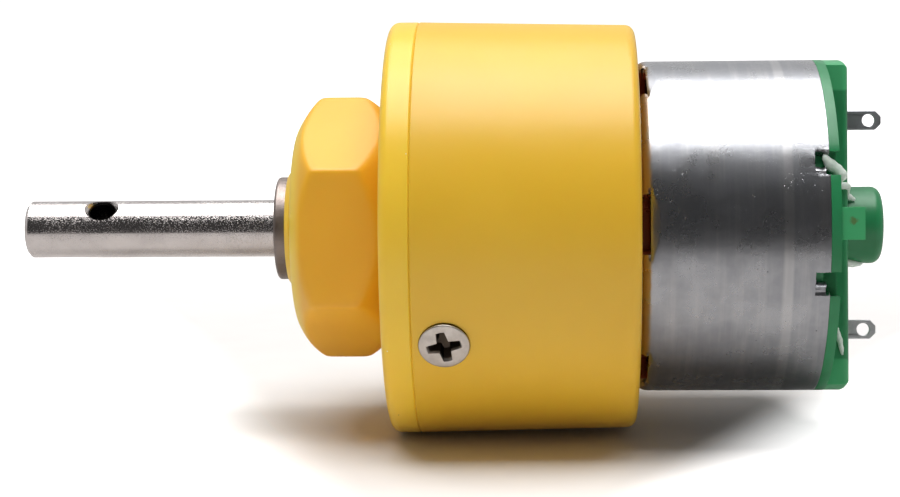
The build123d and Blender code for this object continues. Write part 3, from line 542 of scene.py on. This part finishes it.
def dress_cad():
    """Every CAD node takes its slot's procedural material."""
    for node, slot_name in SLOTS.items():
        NODES[node].data.materials.clear()
        NODES[node].data.materials.append(MATERIALS[slot_name])


# ---- mesh building ------------------------------------------------------------------------


def rounded(x, radius, size):
    """Nine points of a rounded front corner about (x, radius), from facing -X to facing outwards."""
    turns = [math.radians(180 - 90 * i / 8) for i in range(9)]
    return [(x + size * math.cos(t), radius + size * math.sin(t)) for t in turns]


def even(count):
    """Angles of count equal steps round the shaft."""
    return [360 * i / count for i in range(count)]


def turned(name, outline, angles, shape=None, closed=True):
    """A turned mesh: the (x, radius) outline in mm swept through angles, and moved by shape."""
    work = bmesh.new()
    rings = []
    for x, radius in outline:
        if radius < 1e-6:
            rings.append([work.verts.new((x * MM, 0, 0))] * len(angles))
            continue
        row = []
        for angle in angles:
            place = (x, radius) if shape is None else shape(x, radius, angle)
            row.append(work.verts.new(at(*place, angle)))
        rings.append(row)
    count = len(rings)
    for i in range(count if closed else count - 1):
        this, after = rings[i], rings[(i + 1) % count]
        for j in range(len(angles)):
            k = (j + 1) % len(angles)
            corners = []
            for vert in (this[j], this[k], after[k], after[j]):
                if vert not in corners:
                    corners.append(vert)
            if len(corners) > 2:
                work.faces.new(corners)
    bmesh.ops.recalc_face_normals(work, faces=work.faces)
    return to_object(name, work)


def to_object(name, work):
    """The finished bmesh as a linked object."""
    mesh = bpy.data.meshes.new(name)
    work.to_mesh(mesh)
    work.free()
    piece = bpy.data.objects.new(name, mesh)
    bpy.context.scene.collection.objects.link(piece)
    return piece


def modifier(piece, kind, **settings):
    """Adds one modifier with its settings."""
    added = piece.modifiers.new(kind.lower(), kind)
    for key, value in settings.items():
        setattr(added, key, value)


def bevel(piece, width, segments, angle):
    """Rounds off a piece's edges, width in mm, where they turn by more than angle in radians."""
    settings = {"segments": segments, "limit_method": "ANGLE", "angle_limit": angle}
    modifier(piece, "BEVEL", width=width * MM, **settings)


def settle(piece, sharp=35):
    """Applies a piece's modifiers and shades it smooth, but for edges over sharp degrees."""
    bpy.context.view_layer.update()
    graph = bpy.context.evaluated_depsgraph_get()
    mesh = bpy.data.meshes.new_from_object(piece.evaluated_get(graph))
    mesh.name = piece.name
    piece.modifiers.clear()
    piece.data = mesh
    mesh.polygons.foreach_set("use_smooth", [True] * len(mesh.polygons))
    mesh.set_sharp_from_angle(angle=math.radians(sharp))
    return piece


def cut(piece, tool):
    """Takes the tool's shape out of the piece, then removes the tool."""
    modifier(piece, "BOOLEAN", operation="DIFFERENCE", solver="EXACT", object=tool)
    settle(piece)
    bpy.data.objects.remove(tool)


def dress(piece, slot_name, body):
    """Gives a piece the material of its slot, and the body that it rides on."""
    piece.data.materials.clear()
    piece.data.materials.append(MATERIALS[slot_name])
    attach(piece, body)


def stand(piece, node, body):
    """Dresses a piece in its CAD node's material and puts it in the node's place."""
    dress(piece, SLOTS[node], body)
    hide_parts(node)


def smoothly(value, low, high):
    """0 below low, 1 above high, and smooth between."""
    t = min(1, max(0, (value - low) / (high - low)))
    return t * t * (3 - 2 * t)


def soft_least(power, *values):
    """The least of some positive values, rounded off where two are close; less with more power."""
    return sum(v ** -power for v in values) ** (-1 / power)


def thread_depth(x, angle, start, stop):
    """Depth of a rounded thread's groove, which runs out at both ends."""
    wave = 0.5 - 0.5 * math.cos(2 * math.pi * (x / THREAD_PITCH - angle / 360))
    return THREAD_DEPTH * wave * smoothly(x, start, start + 1) * smoothly(-x, -stop, 1 - stop)


def spaced(start, stop, step):
    """Numbers from start to stop, about step apart."""
    count = max(1, round(abs(stop - start) / step))
    return [start + (stop - start) * i / count for i in range(count + 1)]


def refined(points, step):
    """An open (x, radius) outline with extra points wherever two are over step apart along x."""
    fine = []
    for (x0, r0), (x1, r1) in zip(points, points[1:]):
        count = max(1, round((x1 - x0) / step))
        fine += [(x0 + (x1 - x0) * i / count, r0 + (r1 - r0) * i / count) for i in range(count)]
    return fine + [points[-1]]


# ---- pieces -------------------------------------------------------------------------------


def make_shaft():
    """Output shaft: chamfered tip with rounded edges, journal, snap ring groove and cross hole."""
    low, high = box_mm("output_shaft")
    radius = high.z
    tip = low.x
    step = box_mm("front_bush")[0].x - BUSH_GAP
    floor = JOURNAL_R - RING_GROOVE_DEPTH
    groove_front, groove_rear = RING_GROOVE
    outline = [(tip, 0)] + [(tip + x, radius - inward) for x, inward in TIP_CHAMFER]
    outline += [(x, radius) for x in spaced(tip + 1, step, 2)]
    outline += [(step, JOURNAL_R), (groove_front, JOURNAL_R), (groove_front, floor)]
    outline += [(groove_rear, floor), (groove_rear, JOURNAL_R), (high.x - REAR_CHAMFER, JOURNAL_R)]
    outline += [(high.x, JOURNAL_R - REAR_CHAMFER), (high.x, 0)]
    shaft = turned("output_shaft_steel", outline, even(180), closed=False)
    cut(shaft, make_drill(radius))
    stand(shaft, "output_shaft", "output")


def make_drill(radius):
    """Cutter for the cross hole of a shaft of this radius, with a countersink at both ends."""
    past = 0.6
    sink = HOLE_MOUTH - HOLE_R
    half = [(radius + past, 0), (radius + past, HOLE_MOUTH + past)]
    half += [(radius - sink, HOLE_R + 0.04), (radius - sink - 0.08, HOLE_R)]
    outline = [(-x, r) for x, r in half] + half[::-1]
    drill = turned("drill", outline, even(72), closed=False)
    turn = Matrix.Rotation(math.radians(HOLE_ANGLE), 4, "X") @ Matrix.Rotation(math.pi / 2, 4, "Z")
    drill.matrix_world = Matrix.Translation((HOLE_X * MM, 0, 0)) @ turn
    return drill


def make_cover():
    """Front cover: threaded neck, flat face with a rounded rim, and a chamfered seam edge."""
    low, high = box_mm("front_cover")
    rear = box_mm("gearbox_housing")[0].x
    outer = high.z
    start = low.x
    outline = [(start, COVER_BORE_R)] + [(start + x, NECK_R - inward) for x, inward in NECK_CHAMFER]
    outline += [(x, NECK_R) for x in spaced(start + 0.6, -0.4, THREAD_PITCH / 12)]
    outline += [(-NECK_ROOT, NECK_R), (0, NECK_R + NECK_ROOT), (0, outer - COVER_FACE_RING)]
    outline += rounded(COVER_EDGE, outer - COVER_EDGE, COVER_EDGE)
    outline += [(rear - x, outer - inward) for x, inward in SEAM_CHAMFER]
    outline += [(rear, COVER_INSIDE_R), (COVER_WALL, COVER_INSIDE_R), (COVER_WALL, COVER_BORE_R)]

    def threaded(x, radius, angle):
        if radius == NECK_R:
            return x, radius - thread_depth(x, angle, start + 0.4, -0.5)
        return x, radius

    cover = turned("front_cover_moulding", outline, even(288), threaded)
    stand(settle(cover), "front_cover", "gearbox")


def nut_angles():
    """Angles round the nut, in degrees, packed closer beside each corner."""
    offsets = [0, 0.4, 0.8, 1.2, 1.7, 2.3, 3, 4, 6, 9, 13, 18, 24]
    beside = sorted(offsets + [-o for o in offsets[1:]] + [30])
    return sorted((NUT_FACE + 30 + 60 * k + o) % 360 for k in range(6) for o in beside)


def make_nut():
    """Mounting nut: a hexagon with rounded corners, softly coned ends and a threaded bore."""
    low, high = box_mm("mounting_nut")
    front, rear = low.x, high.x
    bore = NECK_R + NUT_CLEARANCE
    outline = [(front, bore + 1.6)] + [(front + x, r) for x, r in refined(NUT_NOSE, 0.12)]
    outline += [(x, NUT_UNCUT_R) for x in spaced(front + NUT_MIDDLE, rear - NUT_MIDDLE, 0.6)]
    outline += [(rear - x, r) for x, r in reversed(refined(NUT_TAIL, 0.12))]
    outline += [(rear, bore + 0.5)]
    outline += [(x, bore) for x in spaced(rear - 0.5, front + 0.5, THREAD_PITCH / 10)]
    outline += [(front, bore + 0.5)]

    def faced(x, radius, angle):
        if radius == bore:
            return x, radius + thread_depth(x, angle, front, rear)
        side = [math.cos(math.radians(angle - NUT_FACE - 60 * k)) for k in range(6)]
        hexagon = soft_least(90, *[NUT_FLATS / 2 / c for c in side if c > 0.3])
        return x, soft_least(60, hexagon, radius) if radius > 8 else radius

    nut = turned("mounting_nut_moulding", outline, nut_angles(), faced)
    stand(settle(nut, 50), "mounting_nut", "nut")


def make_screw_cross():
    """Cutter for a cross recess: wide above the head's face, and narrower at the recess's floor."""
    work = bmesh.new()
    layers = []
    for height, reach, arm, inner in CROSS_LAYERS:
        corners = []
        for turn in range(4):
            spin = Matrix.Rotation(math.radians(90 * turn), 3, "Z")
            for x, y in ((reach, -arm), (reach + CROSS_BULGE, 0), (reach, arm), (inner, inner)):
                corners.append(work.verts.new(spin @ Vector((x, y, height)) * MM))
        layers.append(corners)
    top, bottom = layers
    work.faces.new(top)
    work.faces.new(list(reversed(bottom)))
    for i in range(len(top)):
        k = (i + 1) % len(top)
        work.faces.new((top[i], bottom[i], bottom[k], top[k]))
    bmesh.ops.recalc_face_normals(work, faces=work.faces)
    cross = to_object("cross", work)
    cross.matrix_world = (
        Matrix.Translation((SCREW_FACE * MM, 0, 0))
        @ Matrix.Rotation(math.pi / 2, 4, "Y")
        @ Matrix.Rotation(math.radians(CROSS_TURN), 4, "Z")
    )
    return cross


def make_screws():
    """Two countersunk cover screws with a slightly domed head, a rolled rim and a cross recess."""
    low, high = box_mm("cover_screws")
    middle = Matrix.Translation(((low.x + high.x) / 2 * MM, 0, 0))
    outline = SCREW_SHANK + SCREW_RIM + SCREW_DOME
    for number, angle in enumerate(SCREW_ANGLES):
        screw = turned(f"cover_screw_{number + 1}", outline, even(96), closed=False)
        cut(screw, make_screw_cross())
        bevel(screw, width=0.05, segments=2, angle=0.6)
        settle(screw, 40)
        turn = Matrix.Rotation(math.radians(angle), 4, "X") @ Matrix.Rotation(math.pi / 2, 4, "Z")
        screw.data.transform(middle @ turn)
        stand(screw, "cover_screws", "gearbox")


def in_notch(x, angle, rear):
    """True inside one of the four notches in the can's rear rim."""
    offsets = [(angle - middle + 180) % 360 - 180 for middle in NOTCH_ANGLES]
    return x > rear - NOTCH_DEPTH and min(map(abs, offsets)) < NOTCH_HALF


def window_offset(angle):
    """Degrees from the middle of the nearest window in the can's front corner."""
    return (angle - FRONT + WINDOW_PITCH / 2) % WINDOW_PITCH - WINDOW_PITCH / 2


def roughen_rim(work, rear):
    """Moves the points of the can's cut rear edges slightly: more in the notches than on the rim."""
    chance = random.Random(11)
    for vert in work.verts:
        if vert.is_boundary and vert.co.x > (rear - NOTCH_DEPTH - 0.1) * MM:
            reach = NOTCH_ROUGHNESS if vert.co.x < (rear - 0.05) * MM else RIM_ROUGHNESS
            shift = Vector((chance.uniform(-1, 0.3), chance.uniform(-1, 1), chance.uniform(-1, 1)))
            vert.co += shift * reach * MM


def make_can():
    """Motor can: drawn steel with vent windows in its front corner and notches in its rear rim."""
    low, high = box_mm("motor_can")
    front = box_mm("gearbox_housing")[1].x
    rear, radius = high.x, high.z
    window_rear = front + WINDOW_LENGTH
    outline = [(low.x, CAN_BOSS_R - CAN_BOSS_WALL), (low.x, CAN_BOSS_R)]
    outline += [(front, r) for r in CAN_FACE_RINGS]
    outline += rounded(front + CAN_SHOULDER, radius - CAN_SHOULDER, CAN_SHOULDER)
    outline += [(x, radius) for x in spaced(front + CAN_SHOULDER + 0.1, window_rear + 1, 0.1)]
    outline += [(x, radius) for x in spaced(window_rear + 1.6, rear - NOTCH_DEPTH - 0.6, 1.2)]
    outline += [(x, radius) for x in spaced(rear - NOTCH_DEPTH, rear, 0.14)]

    def dented(x, r, angle):
        reach = DENT_REACH * (1 - (window_offset(angle) / DENT_HALF) ** 2)
        if x < window_rear - 0.05 or x > window_rear + 1 or reach <= 0:
            return x, r
        return x, r - DENT_DEPTH * max(0, 1 - (x - window_rear) / reach)

    can = turned("motor_can_shell", outline, [FRONT + a for a in even(360)], dented, closed=False)
    work = bmesh.new()
    work.from_mesh(can.data)
    holes = []
    for face in work.faces:
        middle = face.calc_center_median() / MM
        angle = math.degrees(math.atan2(middle.z, middle.y))
        off_axis = math.hypot(middle.y, middle.z)
        window = front - 0.01 <= middle.x < window_rear and abs(window_offset(angle)) < WINDOW_HALF
        if in_notch(middle.x, angle, rear) or (window and off_axis > WINDOW_INNER_R):
            holes.append(face)
    bmesh.ops.delete(work, geom=holes, context="FACES")
    roughen_rim(work, rear)
    work.to_mesh(can.data)
    work.free()
    modifier(can, "SOLIDIFY", thickness=CAN_SHEET * MM, offset=-1, use_even_offset=True)
    bevel(can, width=0.05, segments=2, angle=0.9)
    stand(settle(can), "motor_can", "gearbox")


def make_stakes():
    """Corners of two notches where the can's edge is punched in over the end cap."""
    high = box_mm("motor_can")[1]
    rear, radius = high.x, high.z
    columns = 5
    for name, angle, depth, wide in STAKES:
        work = bmesh.new()
        chance = random.Random(5)
        rows = []
        for x in spaced(rear - NOTCH_DEPTH - 0.15, rear - 0.4, 0.2):
            row = []
            for j in range(columns + 1):
                off = (j / columns - 0.5) * wide
                sink = depth * (1 - abs(2 * j / columns - 1)) + chance.uniform(0, 0.08)
                place = at(x, radius - sink, angle + math.degrees(off / radius))
                row.append(work.verts.new(place))
            rows.append(row)
        for this, after in zip(rows, rows[1:]):
            for j in range(columns):
                work.faces.new((this[j], this[j + 1], after[j + 1], after[j]))
        stake = to_object(f"can_stake_{name}", work)
        modifier(stake, "SOLIDIFY", thickness=0.7 * MM, offset=-1)
        bevel(stake, width=0.06, segments=2, angle=0.6)
        dress(settle(stake, 30), "can_zinc", "gearbox")


def smear(name, seed, points):
    """A smear of set glue along points of (place in metres, thickness in mm)."""
    work = bmesh.new()
    chance = random.Random(seed)
    for (a, wide_a), (b, wide_b) in zip(points, points[1:]):
        count = max(2, round((b - a).length / (0.25 * MM)))
        for i in range(count):
            t = i / count
            size = (wide_a + (wide_b - wide_a) * t) * chance.uniform(0.9, 1.1) * MM
            wander = Vector([chance.uniform(-0.06, 0.06) * size for _ in range(3)])
            lump = Matrix.Translation(a.lerp(b, t) + wander) @ Matrix.Scale(size / 2, 4)
            bmesh.ops.create_icosphere(work, subdivisions=2, radius=1, matrix=lump)
    glue = to_object(name, work)
    modifier(glue, "REMESH", mode="VOXEL", voxel_size=0.12 * MM)
    modifier(glue, "SMOOTH", factor=0.6, iterations=10)
    settle(glue, 180)
    glue.data.materials.append(MATERIALS["glue"])
    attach(glue, "gearbox")


def make_glue():
    """Set glue wiped over the end cap: from a notch to the boss, under the boss and on the bar."""
    smear(
        "glue_notch",
        3,
        [
            (seen(43.2, 15.4, 6.5), 0.7),
            (seen(43.8, 15.1, 5.7), 1.2),
            (seen(44.9, 15.0, 4.8), 1.1),
            (seen(45.15, 10.0, 4.3), 1.0),
            (seen(45.3, 5.9, 4.1), 1.0),
            (seen(46.8, 5.4, 3.9), 0.7),
            (seen(47.0, 3.4, 3.0), 0.7),
            (seen(48.0, 3.3, 2.5), 0.4),
        ],
    )
    smear(
        "glue_boss",
        4,
        [(seen(47.1, 2.0, -3.9), 0.9), (seen(48.0, 1.2, -4.05), 0.8), (seen(49.0, 0.6, -4.0), 0.4)],
    )
    smear(
        "glue_bar",
        6,
        [(seen(45.6, 5.6, -10.6), 0.5), (seen(45.9, 5.6, -11.8), 0.7), (seen(46.2, 5.5, -13.4), 0.4)],
    )


def soften_cad():
    """Slight roundings on the CAD pieces that show and have no piece of their own."""
    for node, width in SOFT_EDGES:
        modifier(NODES[node], "WELD", merge_threshold=0.002 * MM)
        bevel(NODES[node], width, segments=3, angle=0.7)


# ---- stage --------------------------------------------------------------------------------

FLOOR_REACH = 1.6  # metres, as the lights' places and sizes
LIGHT_X = 0.01
LIGHT_HEIGHT = 0.57
# Where the paper's painted glow and painted reflection change, in mm.
DARK_EDGE = -134.0  # along Y: the floor in front of this is darker in the metal's reflections
WHITE_BEHIND = (40.0, 260.0)  # along Y
WHITE_RIGHT = (34.0, 48.0)  # along X, at Y = 0
WHITE_LEFT = (-9.0, -27.0)
SLANT_RIGHT = -0.5
SLANT_LEFT = 0.35


def softbox(name, depth, size, power, plain=True):
    """A rectangular light facing down, at depth along +Y. Only gloss shows it if it isn't plain."""
    data = bpy.data.lights.new(name, "AREA")
    data.shape = "RECTANGLE"
    data.size, data.size_y = size
    data.energy = power
    light = bpy.data.objects.new(name, data)
    light.location = (LIGHT_X, depth, LIGHT_HEIGHT)
    light.visible_camera = False
    light.visible_diffuse = plain
    bpy.context.scene.collection.objects.link(light)


def floor_paper():
    """Pale paper with a painted glow that whitens it for the camera behind the motor and past its
    ends, and a painted dim reflection.
    """
    s = Shader("floor_paper")
    tint = s.mix(s.span(s.noise(9.0, 4.0), 0.3, 0.7), (0.87, 0.845, 0.83), (0.85, 0.825, 0.81))
    s.finish(Base_Color=tint, Roughness=0.75, Normal=s.bump(s.noise(0.5), 0.01))
    path = s.add("ShaderNodeLightPath").outputs
    apart = s.apart()
    back = apart["Y"]
    behind = s.span(back, *WHITE_BEHIND, 0.0, 0.9)
    right = s.span(s.maths("MULTIPLY_ADD", back, SLANT_RIGHT, apart["X"]), *WHITE_RIGHT)
    left = s.span(s.maths("MULTIPLY_ADD", back, SLANT_LEFT, apart["X"]), *WHITE_LEFT)
    white = s.maths("MAXIMUM", behind, s.maths("MAXIMUM", left, right))
    # painted glow: the camera sees the paper white there, over its real shadow
    shown = s.maths("MULTIPLY", path["Is Camera Ray"], white)
    glow = s.add("ShaderNodeEmission", [("Strength", shown)])
    lit = s.add("ShaderNodeAddShader", [(0, s.surface.outputs[0]), (1, glow.outputs[0])])
    # painted reflection: gloss sees the paper dimmed, and nearly dark in front of DARK_EDGE
    ends = (DARK_EDGE - 6, DARK_EDGE + 6)
    painted_reflection = s.add("ShaderNodeEmission", [("Strength", s.span(back, *ends, 0.03, 0.05))])
    share = s.maths("MULTIPLY", s.span(back, *ends, 1.0, 0.3), path["Is Glossy Ray"])
    links = [(0, share), (1, lit.outputs[0]), (2, painted_reflection.outputs[0])]
    both = s.add("ShaderNodeMixShader", links)
    s.tree.links.new(both.outputs[0], s.tree.nodes["Material Output"].inputs["Surface"])
    return s.material


def make_floor():
    """One flat face of pale paper under the motor."""
    height = cad_bounds[0].z
    signs = ((-1, -1), (1, -1), (1, 1), (-1, 1))
    corners = [(x * FLOOR_REACH, y * FLOOR_REACH, height) for x, y in signs]
    mesh = bpy.data.meshes.new("floor")
    mesh.from_pydata(corners, [], [(0, 1, 2, 3)])
    mesh.materials.append(floor_paper())
    floor = bpy.data.objects.new("floor", mesh)
    bpy.context.scene.collection.objects.link(floor)


def make_room():
    """The world: white to the camera, evenly dim for plain light, and darker in front for gloss."""
    world = bpy.data.worlds.new("room")
    world.use_nodes = True
    bpy.context.scene.world = world
    tree = world.node_tree
    tree.nodes.clear()
    path = add_node(tree, "ShaderNodeLightPath").outputs
    facing = add_node(tree, "ShaderNodeTexCoord").outputs["Generated"]
    depth = add_node(tree, "ShaderNodeSeparateXYZ", [(0, facing)]).outputs["Y"]
    links = [("Value", depth), ("From Min", -0.5), ("From Max", 0.05)]
    links += [("To Min", 0.05), ("To Max", 0.6)]
    ramp = add_node(tree, "ShaderNodeMapRange", links).outputs["Result"]

    def background(strength):
        links = [("Color", (1, 1, 1, 1)), ("Strength", strength)]
        return add_node(tree, "ShaderNodeBackground", links).outputs[0]

    def chosen(share, first, second):
        links = [(0, share), (1, first), (2, second)]
        return add_node(tree, "ShaderNodeMixShader", links).outputs[0]

    unseen = chosen(path["Is Glossy Ray"], background(0.14), background(ramp))
    both = chosen(path["Is Camera Ray"], unseen, background(1.0))
    add_node(tree, "ShaderNodeOutputWorld", [("Surface", both)])


def make_stage():
    """Pale floor, a softbox overhead, one behind it that only the gloss shows, and the room."""
    make_floor()
    softbox("softbox_over", -0.06, (0.62, 0.40), 4.65)
    softbox("softbox_back", 0.285, (0.62, 0.29), 1.7, plain=False)
    make_room()


# ---- the scene ----------------------------------------------------------------------------

bpy.context.scene.view_settings.view_transform = "Standard"
make_camera()
make_stage()
dress_cad()
make_shaft()
make_cover()
make_nut()
make_screws()
make_can()
make_stakes()
make_glue()
soften_cad()
